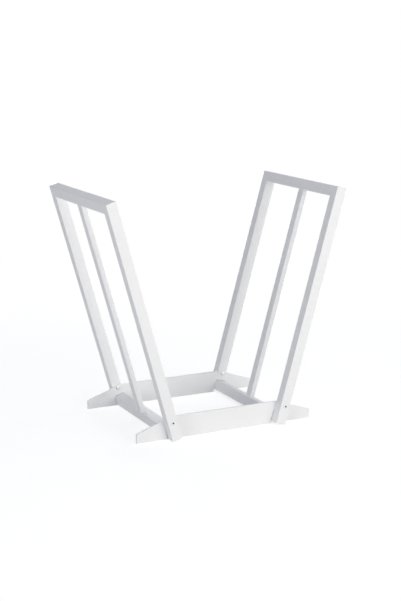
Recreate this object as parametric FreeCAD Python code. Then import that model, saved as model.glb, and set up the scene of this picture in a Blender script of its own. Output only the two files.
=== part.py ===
"""Free-standing log holder: two leaning tube frames notched into two tapered base plates and bolted to them.

Millimetres, +Z up. The origin is on the floor, under the middle of the holder. Front is -Y and left is -X.
Each side frame is drawn standing upright, with its outer face on the plane x = 0 and its foot on z = 0,
and is then leaned outwards and moved to its place.
"""

import FreeCAD, Part
import math
import os

# Side frames: square tube, mitred at the corners like a picture frame.
# The plates carry the holder, so the frames' rounded lower edges just clear the floor.
TUBE = 30.0
TUBE_WALL = 1.5
TUBE_CORNER = 2.0
FRAME_LENGTH = 694.0
FRAME_DEPTH = 426.0
LEAN_DEGREES = 15.75
FOOT_SPREAD = 354.0
FLOOR_GAP = 0.2

# Slim flat tube in the middle of each side frame, flush with its outer face.
# Its ends lap the rails' rounded edges by a share of their radius: a full lap would end in a knife edge.
SLAT_WIDTH = 27.0
SLAT_THICKNESS = 15.0
SLAT_WALL = 1.2
SLAT_CORNER = 2.0
SLAT_LAP_SHARE = 0.6

# Base plates: level between the frames, tapering to low feet outside them.
PLATE_THICKNESS = 6.0
PLATE_ABOVE_BOLT = 10.0
PLATE_END_HEIGHT = 26.5
PLATE_CORNER = 1.5
FOOT_REACH = 96.0
LEVEL_PAST_UPRIGHT = 2.0
NOTCH_CLEARANCE = 1.0

# Fasteners: a wide flat-headed furniture bolt, a washer and a nut at each crossing of an upright and a plate.
BOLT_ABOVE_RAIL = 22.5
BOLT_DIAMETER = 6.0
BOLT_STAND_OUT = 2.0
BOLT_CHAMFER = 0.5
HEAD_DIAMETER = 17.0
HEAD_HEIGHT = 2.4
HEAD_BEVEL_WIDTH = 1.6
HEAD_BEVEL_HEIGHT = 1.2
SOCKET_WIDTH = 5.0
SOCKET_DEPTH = 2.2
HOLE_CLEARANCE = 0.6
WASHER_DIAMETER = 12.0
WASHER_THICKNESS = 1.6
WASHER_CLEARANCE = 0.4
NUT_WIDTH = 10.0
NUT_HEIGHT = 5.2
NUT_CHAMFER_DEGREES = 30.0
THREAD_CLEARANCE = 0.1

# How far cutting solids run past what they cut.
CUT_MARGIN = 5.0

# Values that follow from the sizes above. FRAME_Z is the height of a leaned frame's lower outer edge
# before its rounding, which lifts the edge's lowest line to the floor gap.
SIDES = {"left": -1, "right": 1}
ENDS = {"front": -1, "rear": 1}
LEAN = math.radians(LEAN_DEGREES)
HALF_DEPTH = FRAME_DEPTH / 2
FRAME_Z = FLOOR_GAP - TUBE_CORNER * (math.cos(LEAN) + math.sin(LEAN) - 1)
BOLT_UP_FRAME = TUBE + BOLT_ABOVE_RAIL
BOLT_X = FOOT_SPREAD / 2 + BOLT_UP_FRAME * math.sin(LEAN) - TUBE / 2 * math.cos(LEAN)
BOLT_Z = FRAME_Z + BOLT_UP_FRAME * math.cos(LEAN) + TUBE / 2 * math.sin(LEAN)
PLATE_HEIGHT = BOLT_Z + PLATE_ABOVE_BOLT
PLATE_HALF_LENGTH = FOOT_SPREAD / 2 + FOOT_REACH

X_AXIS = FreeCAD.Vector(1, 0, 0)
Y_AXIS = FreeCAD.Vector(0, 1, 0)
Z_AXIS = FreeCAD.Vector(0, 0, 1)
ORIGIN = FreeCAD.Vector(0, 0, 0)


def prism(points, along):
    """Solid of a closed polygon pushed along a vector."""
    outline = Part.makePolygon(points + points[:1])
    return Part.Face(outline).extrude(along)


def rounded_bar(width, depth, corner, length):
    """Solid bar along +Z from z = 0, centred on the Z axis, with rounded long edges."""
    bends = []
    for quarter in range(4):
        angles = [math.radians(90 * quarter + part) for part in (0, 45, 90)]
        centre = FreeCAD.Vector(
            math.copysign(width / 2 - corner, math.cos(angles[1])),
            math.copysign(depth / 2 - corner, math.sin(angles[1])),
            0,
        )
        bends.append([centre + FreeCAD.Vector(math.cos(a), math.sin(a), 0) * corner for a in angles])
    edges = []
    for bend, next_bend in zip(bends, bends[1:] + bends[:1]):
        edges.append(Part.Arc(*bend).toShape())
        edges.append(Part.LineSegment(bend[2], next_bend[0]).toShape())
    return Part.Face(Part.Wire(edges)).extrude(Z_AXIS * length)


def hollow_bar(width, depth, corner, wall, length):
    """Open-ended tube along +Z from z = 0, centred on the Z axis, with a square-cornered inside."""
    inside = Part.makeBox(width - 2 * wall, depth - 2 * wall, length)
    inside.translate(FreeCAD.Vector(wall - width / 2, wall - depth / 2, 0))
    return rounded_bar(width, depth, corner, length).cut(inside)


def turned(outline):
    """Solid turned about the Z axis, from a closed outline of (radius, height) points."""
    points = [FreeCAD.Vector(radius, 0, height) for radius, height in outline]
    return Part.Face(Part.makePolygon(points + points[:1])).revolve(ORIGIN, Z_AXIS, 360)


def hexagon_radius(width):
    """Distance from the centre to a corner of a hexagon of that width across its flats."""
    return width / 2 / math.cos(math.radians(30))


def hexagon(width, height):
    """Hexagonal prism along +Z from z = 0, of that width across its flats."""
    radius = hexagon_radius(width)
    corners = []
    for i in range(6):
        angle = math.radians(60 * i)
        corners.append(FreeCAD.Vector(radius * math.cos(angle), radius * math.sin(angle), 0))
    return prism(corners, Z_AXIS * height)


def lean(shape, side):
    """Leans a piece of a side frame outwards and moves it to its place."""
    shape.rotate(ORIGIN, Y_AXIS, SIDES[side] * LEAN_DEGREES)
    shape.translate(FreeCAD.Vector(SIDES[side] * FOOT_SPREAD / 2, 0, FRAME_Z))
    return shape


def bolt_hole(x, z):
    """Clearance hole along Y through the whole depth of the holder."""
    radius = (BOLT_DIAMETER + HOLE_CLEARANCE) / 2
    start = FreeCAD.Vector(x, -HALF_DEPTH - CUT_MARGIN, z)
    return Part.makeCylinder(radius, FRAME_DEPTH + 2 * CUT_MARGIN, start, Y_AXIS)


def mitred_tube(length):
    """Frame member along +Z from z = 0: full length on its outer side y = 0, mitred towards y = TUBE."""
    tube = hollow_bar(TUBE, TUBE, TUBE_CORNER, TUBE_WALL, length)
    tube.translate(FreeCAD.Vector(0, TUBE / 2, 0))
    left = -TUBE / 2 - CUT_MARGIN
    inner = TUBE + CUT_MARGIN
    corners = [
        FreeCAD.Vector(left, -CUT_MARGIN, -CUT_MARGIN),
        FreeCAD.Vector(left, inner, inner),
        FreeCAD.Vector(left, inner, length - inner),
        FreeCAD.Vector(left, -CUT_MARGIN, length + CUT_MARGIN),
    ]
    return tube.common(prism(corners, X_AXIS * (TUBE + 2 * CUT_MARGIN)))


def frame_members(side):
    """The four mitred tubes of one side frame, each turned to its own side of the rectangle."""
    inset = -SIDES[side] * TUBE / 2
    places = {
        "front_upright": (FRAME_LENGTH, 0, -HALF_DEPTH, 0),
        "top_rail": (FRAME_DEPTH, -90, -HALF_DEPTH, FRAME_LENGTH),
        "rear_upright": (FRAME_LENGTH, 180, HALF_DEPTH, FRAME_LENGTH),
        "bottom_rail": (FRAME_DEPTH, 90, HALF_DEPTH, 0),
    }
    members = {}
    for name, (length, turn, y, z) in places.items():
        member = mitred_tube(length)
        member.rotate(ORIGIN, X_AXIS, turn)
        member.translate(FreeCAD.Vector(inset, y, z))
        if name.endswith("upright"):
            member = member.cut(bolt_hole(inset, BOLT_UP_FRAME))
        members[name] = lean(member, side)
    return members


def slat(side):
    """Middle bar of a side frame, its ends fitted over the rounded outer edges of both rails."""
    lap = SLAT_LAP_SHARE * TUBE_CORNER
    bar = hollow_bar(SLAT_THICKNESS, SLAT_WIDTH, SLAT_CORNER, SLAT_WALL, FRAME_LENGTH - 2 * TUBE + 2 * lap)
    bar.translate(FreeCAD.Vector(-SIDES[side] * SLAT_THICKNESS / 2, 0, TUBE - lap))
    for rail_z in (TUBE / 2, FRAME_LENGTH - TUBE / 2):
        rail = rounded_bar(TUBE, TUBE, TUBE_CORNER, SLAT_WIDTH + 2 * CUT_MARGIN)
        rail.rotate(ORIGIN, X_AXIS, -90)
        rail.translate(FreeCAD.Vector(-SIDES[side] * TUBE / 2, -SLAT_WIDTH / 2 - CUT_MARGIN, rail_z))
        bar = bar.cut(rail)
    return lean(bar, side)


def rail_notch(side):
    """Leaning notch, open at the floor, that lets a bottom rail pass through a base plate."""
    width = TUBE + 2 * NOTCH_CLEARANCE
    top = TUBE + NOTCH_CLEARANCE
    height = top + TUBE
    notch = rounded_bar(width, height, TUBE_CORNER + NOTCH_CLEARANCE, FRAME_DEPTH)
    notch.rotate(ORIGIN, X_AXIS, -90)
    notch.translate(FreeCAD.Vector(-SIDES[side] * TUBE / 2, -HALF_DEPTH, top - height / 2))
    return lean(notch, side)


def foot_corners(plate):
    """The edges across the plate's thickness at the tips of its feet."""
    middle = plate.CenterOfMass.y
    tips = []
    for edge in plate.Edges:
        at = edge.CenterOfMass
        if abs(at.x) > PLATE_HALF_LENGTH - PLATE_CORNER and abs(at.y - middle) < PLATE_THICKNESS / 4:
            tips.append(edge)
    return tips


def base_plate(end):
    """Upright plate against the inner faces of two uprights, notched over both bottom rails."""
    upright_inside = FOOT_SPREAD / 2 - TUBE / math.cos(LEAN) + (PLATE_HEIGHT - FRAME_Z) * math.tan(LEAN)
    level = upright_inside + LEVEL_PAST_UPRIGHT
    front = {"front": TUBE - HALF_DEPTH, "rear": HALF_DEPTH - TUBE - PLATE_THICKNESS}[end]
    outline = [
        (-PLATE_HALF_LENGTH, 0),
        (PLATE_HALF_LENGTH, 0),
        (PLATE_HALF_LENGTH, PLATE_END_HEIGHT),
        (level, PLATE_HEIGHT),
        (-level, PLATE_HEIGHT),
        (-PLATE_HALF_LENGTH, PLATE_END_HEIGHT),
    ]
    plate = prism([FreeCAD.Vector(x, front, z) for x, z in outline], Y_AXIS * PLATE_THICKNESS)
    plate = plate.makeFillet(PLATE_CORNER, foot_corners(plate))
    for side, sign in SIDES.items():
        plate = plate.cut(rail_notch(side))
        plate = plate.cut(bolt_hole(sign * BOLT_X, BOLT_Z))
    return plate


def bolt():
    """Furniture bolt along Z: its bevelled head stands on z = 0 and its shank points down."""
    head = HEAD_DIAMETER / 2
    shank = BOLT_DIAMETER / 2
    shank_end = -(TUBE + PLATE_THICKNESS + WASHER_THICKNESS + NUT_HEIGHT + BOLT_STAND_OUT)
    outline = [
        (0, HEAD_HEIGHT),
        (0, shank_end),
        (shank - BOLT_CHAMFER, shank_end),
        (shank, shank_end + BOLT_CHAMFER),
        (shank, 0),
        (head, 0),
        (head, HEAD_HEIGHT - HEAD_BEVEL_HEIGHT),
        (head - HEAD_BEVEL_WIDTH, HEAD_HEIGHT),
    ]
    socket = hexagon(SOCKET_WIDTH, SOCKET_DEPTH + CUT_MARGIN)
    socket.translate(FreeCAD.Vector(0, 0, HEAD_HEIGHT - SOCKET_DEPTH))
    return turned(outline).cut(socket)


def washer():
    """Plain washer under a nut, on the inner face of the plate."""
    outside = WASHER_DIAMETER / 2
    inside = (BOLT_DIAMETER + WASHER_CLEARANCE) / 2
    top = -TUBE - PLATE_THICKNESS
    bottom = top - WASHER_THICKNESS
    return turned([(inside, bottom), (outside, bottom), (outside, top), (inside, top)])


def nut():
    """Hexagon nut below the washer, with its corners chamfered at the open end."""
    corner = hexagon_radius(NUT_WIDTH)
    drop = (corner - NUT_WIDTH / 2) * math.tan(math.radians(NUT_CHAMFER_DEGREES))
    bore = (BOLT_DIAMETER + THREAD_CLEARANCE) / 2
    envelope = turned([
        (bore, 0),
        (NUT_WIDTH / 2, 0),
        (corner, drop),
        (corner, NUT_HEIGHT),
        (bore, NUT_HEIGHT),
    ])
    body = hexagon(NUT_WIDTH, NUT_HEIGHT).common(envelope)
    body.translate(FreeCAD.Vector(0, 0, -TUBE - PLATE_THICKNESS - WASHER_THICKNESS - NUT_HEIGHT))
    return body


def at_crossing(shape, side, end):
    """Turns a fastener to face outwards and puts it on the outer face of an upright."""
    shape.rotate(ORIGIN, X_AXIS, -90 * ENDS[end])
    shape.translate(FreeCAD.Vector(SIDES[side] * BOLT_X, ENDS[end] * HALF_DEPTH, BOLT_Z))
    return shape


def build():
    """Every piece of the holder, by node name."""
    nodes = {}
    for side in SIDES:
        for name, member in frame_members(side).items():
            nodes[f"{side}_{name}"] = member
        nodes[f"{side}_middle_bar"] = slat(side)
    for end in ENDS:
        nodes[f"{end}_base_plate"] = base_plate(end)
        for side in SIDES:
            nodes[f"{end}_{side}_bolt"] = at_crossing(bolt(), side, end)
            nodes[f"{end}_{side}_washer"] = at_crossing(washer(), side, end)
            nodes[f"{end}_{side}_nut"] = at_crossing(nut(), side, end)
    return nodes


os.makedirs("parts", exist_ok=True)
for node, shape in build().items():
    shape.exportStep(f"parts/{node}.step")
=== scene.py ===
"""Log holder with its coated tubes, plates and fasteners, on a white stage, seen as in the photograph.

Metres, +Z up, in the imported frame: front is -Y and left is -X. A side frame is drawn standing upright,
with its outer face on x = 0 and its foot on z = 0, and is then leaned outwards. A fastener is drawn along Z,
with its head's underside on z = 0 and its shank pointing down, and is then turned to face outwards.
"""

import math

import bmesh
import bpy
from mathutils import Matrix, Vector


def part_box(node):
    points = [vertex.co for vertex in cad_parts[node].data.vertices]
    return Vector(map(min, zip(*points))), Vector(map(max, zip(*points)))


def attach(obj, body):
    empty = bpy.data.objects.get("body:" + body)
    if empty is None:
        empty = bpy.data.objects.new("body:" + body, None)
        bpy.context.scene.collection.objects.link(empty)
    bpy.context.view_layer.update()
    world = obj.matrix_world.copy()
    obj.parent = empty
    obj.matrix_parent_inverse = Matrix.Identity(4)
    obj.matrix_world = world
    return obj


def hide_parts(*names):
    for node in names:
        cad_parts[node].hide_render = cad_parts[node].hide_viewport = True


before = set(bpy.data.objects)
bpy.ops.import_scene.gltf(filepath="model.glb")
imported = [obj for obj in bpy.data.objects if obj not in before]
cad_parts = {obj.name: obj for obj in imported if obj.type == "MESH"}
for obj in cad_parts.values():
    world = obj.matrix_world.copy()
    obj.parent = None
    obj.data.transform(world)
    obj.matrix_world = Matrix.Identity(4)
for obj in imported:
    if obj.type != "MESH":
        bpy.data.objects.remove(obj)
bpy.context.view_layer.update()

# Names of the sides and ends, and the sizes that the solids give.
SIDES = {"left": -1, "right": 1}
ENDS = {"front": -1, "rear": 1}
upright_low, upright_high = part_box("left_front_upright")
bar_low, bar_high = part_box("left_middle_bar")
washer_low, washer_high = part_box("front_left_washer")
nut_low, nut_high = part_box("front_left_nut")
bolt_low, bolt_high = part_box("front_left_bolt")
HALF_DEPTH = -upright_low[1]
TUBE = upright_high[1] - upright_low[1]
SLAT_WIDTH = bar_high[1] - bar_low[1]
WASHER_DIAMETER = washer_high[0] - washer_low[0]
HEAD_DIAMETER = bolt_high[0] - bolt_low[0]
HEAD_HEIGHT = -HALF_DEPTH - bolt_low[1]
WASHER_TOP = -HALF_DEPTH - washer_low[1]
NUT_TOP = -HALF_DEPTH - nut_low[1]
NUT_OPEN_END = -HALF_DEPTH - nut_high[1]
BOLT_END = -HALF_DEPTH - bolt_high[1]

# Side frames. FRAME_Z is the height of a leaned frame's lower outer edge before its rounding.
FRAME_LENGTH = 0.694
FRAME_DEPTH = 2 * HALF_DEPTH
LEAN = math.radians(15.75)
FOOT_SPREAD = 0.354
FLOOR_GAP = 0.0002
TUBE_CORNER = 0.002
MITRE_EASE = 0.001
SLAT_THICKNESS = 0.015
SLAT_CORNER = 0.002
FRAME_Z = FLOOR_GAP - TUBE_CORNER * (math.cos(LEAN) + math.sin(LEAN) - 1)

# Base plates.
PLATE_END_HEIGHT = 0.0265
PLATE_TIP_CORNER = 0.0015
PLATE_EASE = 0.0007
LEVEL_PAST_UPRIGHT = 0.002
NOTCH_CLEARANCE = 0.001

# Fasteners.
BOLT_RADIUS = 0.003
SHANK_CHAMFER = 0.0005
THREAD_PITCH = 0.001
THREAD_DEPTH = 0.00055
HEAD_BEVEL_WIDTH = 0.0016
HEAD_BEVEL_HEIGHT = 0.0012
HEAD_EASE = 0.0002
SOCKET_WIDTH = 0.005
SOCKET_DEPTH = 0.0022
SOCKET_LEAD_IN = 0.0003
WASHER_CLEARANCE = 0.0002
WASHER_EASE = 0.0002
NUT_WIDTH = 0.010
NUT_CHAMFER = math.radians(30)
NUT_FACE_SHARE = 0.95
NUT_LEAD_IN = 0.0005
NUT_CLEARANCE = 1e-7
BOLT_TURN = math.radians(17)

# Fineness of the meshes.
BEND_STEPS = 8
EASE_STEPS = 4
ROUND_POINTS = 48
THREAD_STEPS = 10
WELD = 1e-7
SHARP = math.radians(35)

# Camera of the photograph, which is 401 by 601 pixels. The sensor's side, in millimetres, spans its height.
IMAGE_HEIGHT = 601
FOCAL_PIXELS = 1314.22
CAMERA_AZIMUTH = math.radians(-26.31)
CAMERA_ELEVATION = math.radians(12.36)
CAMERA_DISTANCE = 3.80176
CAMERA_TARGET = Vector((0.01194, 0.0, 0.33797))
SENSOR = 36.0

# Light and stage. Each lamp is a square soft box: where it stands, its side, its watts and its tint.
WARM = (1.0, 0.971, 0.917)
NEUTRAL = (0.99, 0.997, 1.0)
LAMPS = {
    "key_light": ((0.5, -4.2, 0.9), 1.7, 55.5, WARM),
    "right_light": ((1.8, -3.2, 1.2), 2.2, 30.0, WARM),
    "left_light": ((-3.4, -2.0, 0.8), 1.5, 33.5, NEUTRAL),
    "top_light": ((0.0, 0.0, 3.6), 2.0, 20.5, NEUTRAL),
    "side_light": ((3.8, 0.8, 0.5), 0.9, 40.0, NEUTRAL),
    "back_light": ((0.8, 3.8, 0.5), 0.9, 64.0, NEUTRAL),
}
LIGHT_TARGET = (0.0, 0.0, 0.35)
WORLD_LIGHT = 0.228
WORLD_TINT = (0.813, 0.853, 1.0)
FLOOR_HALF = 3.0
FLOOR_TONE = (0.92, 0.92, 0.92, 1.0)
FLOOR_SEEN_TONE = (0.5, 0.5, 0.5, 1.0)
FLOOR_FAR_TONE = (0.0, 0.0, 0.0, 1.0)
FLOOR_GLOW = 0.705
FLOOR_FADE_START = 0.9
FLOOR_FADE_END = 2.6
BACKGROUND = 1.0
WHITE = (1.0, 1.0, 1.0, 1.0)

# Finishes. A noise is its scale and its detail, and a bump is its depth and its strength.
NOISE_RANGE = (0.3, 0.7)
COAT_WHITE = (0.88, 0.885, 0.89, 1.0)
COAT_SHADE = (0.855, 0.86, 0.868, 1.0)
COAT_CLOUDS = (7.0, 4.0)
COAT_CLOUD_SHARE = 0.6
COAT_GRAIN = (900.0, 2.0)
COAT_GRAIN_SHARE = 0.4
COAT_GLOSS = (60.0, 3.0)
COAT_ROUGHNESS = (0.40, 0.52)
COAT_PEEL = (520.0, 1.5)
COAT_PEEL_BUMP = (0.0003, 0.5)
COAT_PORES = (2400.0, 1.0)
COAT_PORE_BUMP = (0.00007, 0.5)
# Socket colour: the bare steel's own dark tone, painted near black as the shade inside the hollow.
SOCKET_STEEL_AND_SHADE = (0.035, 0.034, 0.033, 1.0)
SOCKET_WORN = (0.09, 0.088, 0.085, 1.0)
SOCKET_RUBS = (1800.0, 3.0)
SOCKET_GLOSS = (2500.0, 2.0)
SOCKET_ROUGHNESS = (0.45, 0.65)
SOCKET_PITS = (4000.0, 2.0)
SOCKET_METALLIC = 0.6
ZINC_BRIGHT = (0.76, 0.77, 0.78, 1.0)
ZINC_DULL = (0.62, 0.635, 0.66, 1.0)
ZINC_PATCHES = (420.0, 4.0)
ZINC_GLOSS = (700.0, 3.0)
ZINC_ROUGHNESS = (0.24, 0.42)
ZINC_PITS = (1500.0, 3.0)
ZINC_METALLIC = 1.0
PIT_BUMP = (0.00004, 0.4)

# Places of a bolt's finishes in its list of materials, after the coat.
SOCKET_INDEX = 1
ZINC_INDEX = 2

# Sockets of a colour mix, which go by number because its names repeat.
MIX_FACTOR = 0
MIX_FIRST = 6
MIX_SECOND = 7
MIX_RESULT = 2


def add_node(tree, kind, inputs, **settings):
    """New shader node with its settings made and its inputs set, or linked where they are sockets."""
    node = tree.nodes.new(kind)
    for name, value in settings.items():
        setattr(node, name, value)
    for name, value in inputs.items():
        if isinstance(value, bpy.types.NodeSocket):
            tree.links.new(value, node.inputs[name])
        else:
            node.inputs[name].default_value = value
    return node


def new_material(name):
    """Empty shader material with its node tree and its main shader."""
    material = bpy.data.materials.new(name)
    material.use_nodes = True
    return material, material.node_tree, material.node_tree.nodes["Principled BSDF"]


def noise(tree, scale, detail):
    """Fractal noise over the piece's own metres."""
    place = add_node(tree, "ShaderNodeTexCoord", {}).outputs["Object"]
    inputs = {"Vector": place, "Scale": scale, "Detail": detail}
    return add_node(tree, "ShaderNodeTexNoise", inputs).outputs["Fac"]


def ranged(tree, value, low, high):
    """Noise stretched over its usual range, from a low value to a high one."""
    least, most = NOISE_RANGE
    inputs = {"Value": value, "From Min": least, "From Max": most, "To Min": low, "To Max": high}
    return add_node(tree, "ShaderNodeMapRange", inputs).outputs["Result"]


def combined(tree, operation, first, second):
    """Number worked out from two others."""
    return add_node(tree, "ShaderNodeMath", {0: first, 1: second}, operation=operation).outputs[0]


def mixed(tree, factor, colour, other):
    """Colour between two others."""
    inputs = {MIX_FACTOR: factor, MIX_FIRST: colour, MIX_SECOND: other}
    return add_node(tree, "ShaderNodeMix", inputs, data_type="RGBA").outputs[MIX_RESULT]


def bumped(tree, height, depth, strength, normal=None):
    """Normal of a surface that rises and falls by a depth."""
    inputs = {"Height": height, "Distance": depth, "Strength": strength}
    if normal:
        inputs["Normal"] = normal
    return add_node(tree, "ShaderNodeBump", inputs).outputs["Normal"]


def dress(tree, shader, colour, roughness, normal):
    """Links a finish's colour, roughness and normal to its shader."""
    tree.links.new(colour, shader.inputs["Base Color"])
    tree.links.new(roughness, shader.inputs["Roughness"])
    tree.links.new(normal, shader.inputs["Normal"])


def powder_coat():
    """Matt white powder coat: faint clouds where it lies thicker, orange peel and a fine grain."""
    material, tree, shader = new_material("white_powder_coat")
    clouds = ranged(tree, noise(tree, *COAT_CLOUDS), 0.0, COAT_CLOUD_SHARE)
    grain = ranged(tree, noise(tree, *COAT_GRAIN), 0.0, COAT_GRAIN_SHARE)
    colour = mixed(tree, combined(tree, "ADD", clouds, grain), COAT_WHITE, COAT_SHADE)
    roughness = ranged(tree, noise(tree, *COAT_GLOSS), *COAT_ROUGHNESS)
    peel = bumped(tree, noise(tree, *COAT_PEEL), *COAT_PEEL_BUMP)
    normal = bumped(tree, noise(tree, *COAT_PORES), *COAT_PORE_BUMP, peel)
    dress(tree, shader, colour, roughness, normal)
    return material


def socket_steel_and_shade():
    """Bare dark steel inside a bolt's socket, painted darker still as the shade in its hollow, and rubbed
    brighter in places.
    """
    material, tree, shader = new_material("socket_steel_and_painted_shade")
    rubbed = ranged(tree, noise(tree, *SOCKET_RUBS), 0.0, 1.0)
    colour = mixed(tree, rubbed, SOCKET_STEEL_AND_SHADE, SOCKET_WORN)
    roughness = ranged(tree, noise(tree, *SOCKET_GLOSS), *SOCKET_ROUGHNESS)
    normal = bumped(tree, noise(tree, *SOCKET_PITS), *PIT_BUMP)
    dress(tree, shader, colour, roughness, normal)
    shader.inputs["Metallic"].default_value = SOCKET_METALLIC
    return material


def bright_zinc():
    """Zinc-plated steel with dull patches and a slightly pitted skin."""
    material, tree, shader = new_material("bright_zinc")
    dull = ranged(tree, noise(tree, *ZINC_PATCHES), 0.0, 1.0)
    colour = mixed(tree, dull, ZINC_BRIGHT, ZINC_DULL)
    roughness = ranged(tree, noise(tree, *ZINC_GLOSS), *ZINC_ROUGHNESS)
    normal = bumped(tree, noise(tree, *ZINC_PITS), *PIT_BUMP)
    dress(tree, shader, colour, roughness, normal)
    shader.inputs["Metallic"].default_value = ZINC_METALLIC
    return material


def add_object(name, data):
    """New object in the scene."""
    thing = bpy.data.objects.new(name, data)
    bpy.context.scene.collection.objects.link(thing)
    return thing


def loft(rings, closed=False):
    """Skin through rings of points: capped at its two ends, or closed back to its first ring."""
    bm = bmesh.new()
    rows = [[bm.verts.new(point) for point in points] for points in rings]
    if closed:
        rows.append(rows[0])
    else:
        bm.faces.new(rows[0])
        bm.faces.new(rows[-1])
    for row, next_row in zip(rows, rows[1:]):
        for i in range(len(row)):
            bm.faces.new((row[i - 1], row[i], next_row[i], next_row[i - 1]))
    bmesh.ops.remove_doubles(bm, verts=bm.verts, dist=WELD)
    bmesh.ops.recalc_face_normals(bm, faces=bm.faces)
    return bm


def add_piece(node, finish, bm, matrix, materials):
    """Object that takes the place of one node, with soft shading on its rounded edges."""
    bm.transform(matrix)
    mesh = bpy.data.meshes.new(f"{node}_{finish}")
    bm.to_mesh(mesh)
    bm.free()
    mesh.shade_smooth()
    mesh.set_sharp_from_angle(angle=SHARP)
    for material in materials:
        mesh.materials.append(material)
    piece = add_object(mesh.name, mesh)
    piece.modifiers.new("even_shading", "WEIGHTED_NORMAL").keep_sharp = True
    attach(piece, "root")
    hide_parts(node)


def rounded_section(width, depth, corner):
    """Closed outline of a bar, centred on the origin, with rounded corners."""
    points = []
    for quarter in range(4):
        middle = math.radians(90 * quarter + 45)
        centre_x = math.copysign(width / 2 - corner, math.cos(middle))
        centre_y = math.copysign(depth / 2 - corner, math.sin(middle))
        for step in range(BEND_STEPS + 1):
            angle = math.radians(90) * (quarter + step / BEND_STEPS)
            points.append((centre_x + corner * math.cos(angle), centre_y + corner * math.sin(angle)))
    return points


def leaned(sign):
    """Matrix that leans an upright side frame outwards and puts it in its place."""
    return Matrix.Translation((sign * FOOT_SPREAD / 2, 0, FRAME_Z)) @ Matrix.Rotation(sign * LEAN, 4, "Y")


def mitred_tube(length):
    """Frame member along +Z: full length on its outer side y = 0, mitred inwards, outer corners eased."""
    section = [(x, y + TUBE / 2) for x, y in rounded_section(TUBE, TUBE, TUBE_CORNER)]
    near = []
    for step in range(EASE_STEPS + 1):
        angle = math.radians(45) * (1 - step / EASE_STEPS)
        sunk = MITRE_EASE * (1 - math.cos(angle))
        start = MITRE_EASE * (1 - math.sin(angle))
        near.append([(x, max(y, sunk), max(y, start)) for x, y in section])
    far = [[(x, y, length - z) for x, y, z in points] for points in reversed(near)]
    return loft(near + far)


def add_side_frame(side, coat):
    """The four mitred tubes of one side, each turned to its own side of the rectangle."""
    sign = SIDES[side]
    places = {
        "front_upright": (FRAME_LENGTH, 0, -HALF_DEPTH, 0),
        "top_rail": (FRAME_DEPTH, -90, -HALF_DEPTH, FRAME_LENGTH),
        "rear_upright": (FRAME_LENGTH, 180, HALF_DEPTH, FRAME_LENGTH),
        "bottom_rail": (FRAME_DEPTH, 90, HALF_DEPTH, 0),
    }
    for name, (length, turn, y, z) in places.items():
        place = Matrix.Translation((-sign * TUBE / 2, y, z)) @ Matrix.Rotation(math.radians(turn), 4, "X")
        add_piece(f"{side}_{name}", "coated", mitred_tube(length), leaned(sign) @ place, [coat])


def rail_edge(depth):
    """How far a rail's rounded edge has fallen away at a depth behind the outer face."""
    inside = max(TUBE_CORNER - depth, 0)
    return TUBE_CORNER - math.sqrt(TUBE_CORNER ** 2 - inside ** 2)


def add_middle_bar(side, coat):
    """Slim bar flush with the outer face, its ends following the rails' rounded edges."""
    sign = SIDES[side]
    low, high = [], []
    for x, y in rounded_section(SLAT_THICKNESS, SLAT_WIDTH, SLAT_CORNER):
        lap = rail_edge(SLAT_THICKNESS / 2 + x)
        low.append((-sign * (SLAT_THICKNESS / 2 + x), y, TUBE - lap))
        high.append((-sign * (SLAT_THICKNESS / 2 + x), y, FRAME_LENGTH - TUBE + lap))
    add_piece(f"{side}_middle_bar", "coated", loft([low, high]), leaned(sign), [coat])


def rounded_outline(corners):
    """Closed outline through (x, z, radius) corners, each rounded by its own radius."""
    points = []
    for i, (x, z, radius) in enumerate(corners):
        here = Vector((x, z))
        before = (Vector(corners[i - 1][:2]) - here).normalized()
        after = (Vector(corners[(i + 1) % len(corners)][:2]) - here).normalized()
        if not radius:
            points.append(here)
            continue
        half = before.angle(after) / 2
        centre = here + (before + after).normalized() * radius / math.sin(half)
        first = here + before * radius / math.tan(half) - centre
        last = here + after * radius / math.tan(half) - centre
        for step in range(BEND_STEPS + 1):
            points.append(centre + first.lerp(last, step / BEND_STEPS).normalized() * radius)
    return points


def inset(points, distance):
    """Closed outline moved to the left of its run by a distance."""
    moved = []
    for i, here in enumerate(points):
        behind = (here - points[i - 1]).normalized()
        ahead = (points[(i + 1) % len(points)] - here).normalized()
        middle = Vector((-behind.y - ahead.y, behind.x + ahead.x)).normalized()
        moved.append(here + middle * distance / middle.dot(Vector((-ahead.y, ahead.x))))
    return moved


def notch_corners(sign):
    """Corners of the leaning notch over one bottom rail, from the floor outside to the floor inside."""
    outer = NOTCH_CLEARANCE
    inner = -TUBE - NOTCH_CLEARANCE
    top = TUBE + NOTCH_CLEARANCE
    corner = TUBE_CORNER + NOTCH_CLEARANCE
    points = []
    for across, rounded in ((outer, 0), (outer, corner), (inner, corner), (inner, 0)):
        up = top if rounded else (across * math.sin(LEAN) - FRAME_Z) / math.cos(LEAN)
        x = FOOT_SPREAD / 2 + across * math.cos(LEAN) + up * math.sin(LEAN)
        z = FRAME_Z - across * math.sin(LEAN) + up * math.cos(LEAN)
        points.append((sign * x, z, rounded))
    return points


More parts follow.
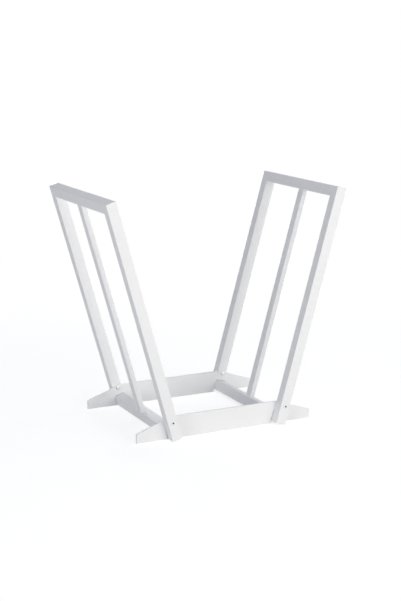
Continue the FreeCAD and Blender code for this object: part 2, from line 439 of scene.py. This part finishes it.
def add_base_plate(end, coat):
    """Upright plate with tapered feet, notched over both bottom rails, its long edges eased."""
    low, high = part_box(f"{end}_base_plate")
    tip, height = high[0], high[2]
    upright_inside = FOOT_SPREAD / 2 - TUBE / math.cos(LEAN) + (height - FRAME_Z) * math.tan(LEAN)
    level = upright_inside + LEVEL_PAST_UPRIGHT
    corners = [(-tip, 0, PLATE_TIP_CORNER)] + notch_corners(-1) + notch_corners(1)[::-1]
    corners += [(tip, 0, PLATE_TIP_CORNER), (tip, PLATE_END_HEIGHT, PLATE_TIP_CORNER)]
    corners += [(level, height, 0), (-level, height, 0), (-tip, PLATE_END_HEIGHT, PLATE_TIP_CORNER)]
    outline = rounded_outline(corners)
    near, far = [], []
    for step in range(EASE_STEPS + 1):
        angle = math.radians(90) * step / EASE_STEPS
        sunk = inset(outline, PLATE_EASE * (1 - math.sin(angle)))
        back = PLATE_EASE * (1 - math.cos(angle))
        near.append([(x, low[1] + back, z) for x, z in sunk])
        far.append([(x, high[1] - back, z) for x, z in sunk])
    add_piece(f"{end}_base_plate", "coated", loft(near + far[::-1]), Matrix.Identity(4), [coat])


def shaped_ring(shape):
    """Ring of points about the Z axis, at the radius and height that the shape gives for each angle."""
    points = []
    for i in range(ROUND_POINTS):
        angle = math.tau * i / ROUND_POINTS
        reach, height = shape(angle)
        points.append((reach * math.cos(angle), reach * math.sin(angle), height))
    return points


def ring(radius, height):
    """Round, level ring of points about the Z axis."""
    return shaped_ring(lambda angle: (radius, height))


def hexagon_reach(angle, width):
    """Distance from the centre to a hexagon's side at an angle."""
    return width / 2 / math.cos(angle % math.radians(60) - math.radians(30))


def thread_ring(height):
    """Ring of a right-hand thread, chamfered at the end of the shank."""
    def shape(angle):
        turn = (height / THREAD_PITCH - angle / math.tau) % 1
        crest = BOLT_RADIUS - THREAD_DEPTH * abs(2 * turn - 1)
        return min(crest, BOLT_RADIUS - SHANK_CHAMFER + height - BOLT_END), height
    return shaped_ring(shape)


def socket_ring(height):
    """Ring of the socket's six walls at a height."""
    return shaped_ring(lambda angle: (hexagon_reach(angle, SOCKET_WIDTH), height))


def bolt_mesh():
    """Furniture bolt: from its socket's floor over its bevelled head to the threaded end of its shank."""
    rim = HEAD_DIAMETER / 2
    flat = rim - HEAD_BEVEL_WIDTH
    shoulder = HEAD_HEIGHT - HEAD_BEVEL_HEIGHT
    steps = round((NUT_TOP - BOLT_END) / THREAD_PITCH * THREAD_STEPS)
    rings = [
        socket_ring(HEAD_HEIGHT - SOCKET_DEPTH),
        socket_ring(HEAD_HEIGHT - SOCKET_LEAD_IN),
        ring(hexagon_reach(0, SOCKET_WIDTH) + SOCKET_LEAD_IN, HEAD_HEIGHT),
        ring(flat - HEAD_EASE, HEAD_HEIGHT),
        ring(flat + HEAD_EASE, HEAD_HEIGHT - HEAD_EASE),
        ring(rim - HEAD_EASE, shoulder + HEAD_EASE),
        ring(rim, shoulder - HEAD_EASE),
        ring(rim, HEAD_EASE),
        ring(rim - HEAD_EASE, 0),
        ring(BOLT_RADIUS, 0),
    ]
    for step in range(steps + 1):
        rings.append(thread_ring(NUT_TOP + (BOLT_END - NUT_TOP) * step / steps))
    bm = loft(rings)
    socket_reach = SOCKET_WIDTH / 2 + SOCKET_LEAD_IN
    socket_top = HEAD_HEIGHT - SOCKET_LEAD_IN / 2
    # Faces under the head take zinc; faces inside the socket take its dark steel, painted near black as
    # shade.
    for face in bm.faces:
        middle = face.calc_center_median()
        if middle.z <= 0:
            face.material_index = ZINC_INDEX
        elif middle.xy.length < socket_reach and middle.z < socket_top:
            face.material_index = SOCKET_INDEX
    return bm


def washer_mesh():
    """Plain washer with softened edges."""
    outer = WASHER_DIAMETER / 2
    inner = BOLT_RADIUS + WASHER_CLEARANCE
    return loft([
        ring(inner, WASHER_TOP),
        ring(outer - WASHER_EASE, WASHER_TOP),
        ring(outer, WASHER_TOP - WASHER_EASE),
        ring(outer, NUT_TOP + WASHER_EASE),
        ring(outer - WASHER_EASE, NUT_TOP),
        ring(inner, NUT_TOP),
    ], closed=True)


def nut_mesh():
    """Hexagon nut with curved chamfers at both ends and a lead-in to its bore."""
    face = NUT_WIDTH / 2 * NUT_FACE_SHARE
    bore = BOLT_RADIUS + NUT_CLEARANCE

    def chamfer(start, sign):
        def shape(angle):
            reach = hexagon_reach(angle, NUT_WIDTH)
            return reach, start + sign * (reach - face) * math.tan(NUT_CHAMFER)
        return shaped_ring(shape)

    return loft([
        ring(bore, NUT_TOP),
        ring(face, NUT_TOP),
        chamfer(NUT_TOP, -1),
        chamfer(NUT_OPEN_END, 1),
        ring(face, NUT_OPEN_END),
        ring(bore + NUT_LEAD_IN, NUT_OPEN_END),
        ring(bore, NUT_OPEN_END + NUT_LEAD_IN),
    ], closed=True)


def add_fasteners(side, end, count, coat, socket, zinc):
    """Bolt, washer and nut at one crossing of an upright and a plate, each set turned a little further."""
    low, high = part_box(f"{end}_{side}_bolt")
    seat = Vector(((low[0] + high[0]) / 2, ENDS[end] * HALF_DEPTH, (low[2] + high[2]) / 2))
    outwards = Matrix.Rotation(math.radians(-90) * ENDS[end], 4, "X")
    place = Matrix.Translation(seat) @ outwards
    turned = place @ Matrix.Rotation(BOLT_TURN * count, 4, "Z")
    add_piece(f"{end}_{side}_bolt", "coated", bolt_mesh(), turned, [coat, socket, zinc])
    add_piece(f"{end}_{side}_washer", "plated", washer_mesh(), place, [zinc])
    add_piece(f"{end}_{side}_nut", "plated", nut_mesh(), place, [zinc])


def seen(tree):
    """One for rays from the camera, a glossy surface or glass, and nought for the light on the object."""
    path = add_node(tree, "ShaderNodeLightPath", {}).outputs
    direct = combined(tree, "MAXIMUM", path["Is Camera Ray"], path["Is Glossy Ray"])
    return combined(tree, "MAXIMUM", direct, path["Is Transmission Ray"])


def add_world():
    """White background with a softer, faintly cool light on the object."""
    world = bpy.data.worlds.new("studio")
    world.use_nodes = True
    tree = world.node_tree
    tree.nodes.clear()
    light = add_node(tree, "ShaderNodeBackground", {"Color": (*WORLD_TINT, 1.0), "Strength": WORLD_LIGHT})
    white = add_node(tree, "ShaderNodeBackground", {"Color": WHITE, "Strength": BACKGROUND})
    inputs = {0: seen(tree), 1: light.outputs[0], 2: white.outputs[0]}
    sky = add_node(tree, "ShaderNodeMixShader", inputs)
    add_node(tree, "ShaderNodeOutputWorld", {"Surface": sky.outputs[0]})
    bpy.context.scene.world = world


def pale_floor():
    """Floor finish that takes the object's shadow and fades to the white background further out."""
    material, tree, shader = new_material("studio_floor")
    shader.inputs["Roughness"].default_value = 1.0
    shader.inputs["Specular IOR Level"].default_value = 0.0
    shader.inputs["Emission Color"].default_value = WHITE
    direct = seen(tree)
    place = add_node(tree, "ShaderNodeTexCoord", {}).outputs["Object"]
    away = add_node(tree, "ShaderNodeVectorMath", {0: place}, operation="LENGTH").outputs["Value"]
    fade = {"Value": away, "From Min": FLOOR_FADE_START, "From Max": FLOOR_FADE_END}
    far = add_node(tree, "ShaderNodeMapRange", fade).outputs["Result"]
    level = add_node(tree, "ShaderNodeMapRange", {**fade, "To Min": FLOOR_GLOW, "To Max": BACKGROUND})
    glow = combined(tree, "MULTIPLY", direct, level.outputs["Result"])
    seen_tone = mixed(tree, far, FLOOR_SEEN_TONE, FLOOR_FAR_TONE)
    tree.links.new(mixed(tree, direct, FLOOR_TONE, seen_tone), shader.inputs["Base Color"])
    tree.links.new(glow, shader.inputs["Emission Strength"])
    return material


def add_floor():
    """Square floor under the object."""
    corners = [(-FLOOR_HALF, -FLOOR_HALF, 0), (FLOOR_HALF, -FLOOR_HALF, 0)]
    corners += [(FLOOR_HALF, FLOOR_HALF, 0), (-FLOOR_HALF, FLOOR_HALF, 0)]
    mesh = bpy.data.meshes.new("studio_floor")
    mesh.from_pydata(corners, [], [range(len(corners))])
    mesh.materials.append(pale_floor())
    floor = add_object("studio_floor", mesh)


def aim(thing, place, target):
    """Puts a lamp or camera at a place, looking at a target."""
    thing.location = place
    thing.rotation_euler = (Vector(target) - Vector(place)).to_track_quat("-Z", "Y").to_euler()


def add_lamp(name, place, size, power, tint):
    """Square soft lamp aimed at the holder."""
    lamp = bpy.data.lights.new(name, "AREA")
    lamp.size = size
    lamp.energy = power
    lamp.color = tint
    aim(add_object(name, lamp), place, LIGHT_TARGET)


def add_camera():
    """Camera of the photograph."""
    camera = bpy.data.cameras.new("camera")
    camera.sensor_width = SENSOR
    camera.lens = SENSOR * FOCAL_PIXELS / IMAGE_HEIGHT
    thing = add_object("camera", camera)
    level = math.cos(CAMERA_ELEVATION)
    across = math.sin(CAMERA_AZIMUTH) * level
    along = -math.cos(CAMERA_AZIMUTH) * level
    back = Vector((across, along, math.sin(CAMERA_ELEVATION)))
    aim(thing, CAMERA_TARGET + back * CAMERA_DISTANCE, CAMERA_TARGET)
    bpy.context.scene.camera = thing


def add_holder():
    """Every piece of the log holder."""
    coat = powder_coat()
    socket = socket_steel_and_shade()
    zinc = bright_zinc()
    for side in SIDES:
        add_side_frame(side, coat)
        add_middle_bar(side, coat)
    for end in ENDS:
        add_base_plate(end, coat)
    crossings = [(side, end) for end in ENDS for side in SIDES]
    for count, (side, end) in enumerate(crossings):
        add_fasteners(side, end, count, coat, socket, zinc)


add_camera()
add_holder()
add_world()
add_floor()
for name, (place, size, power, tint) in LAMPS.items():
    add_lamp(name, place, size, power, tint)
bpy.context.scene.view_settings.view_transform = "Standard"
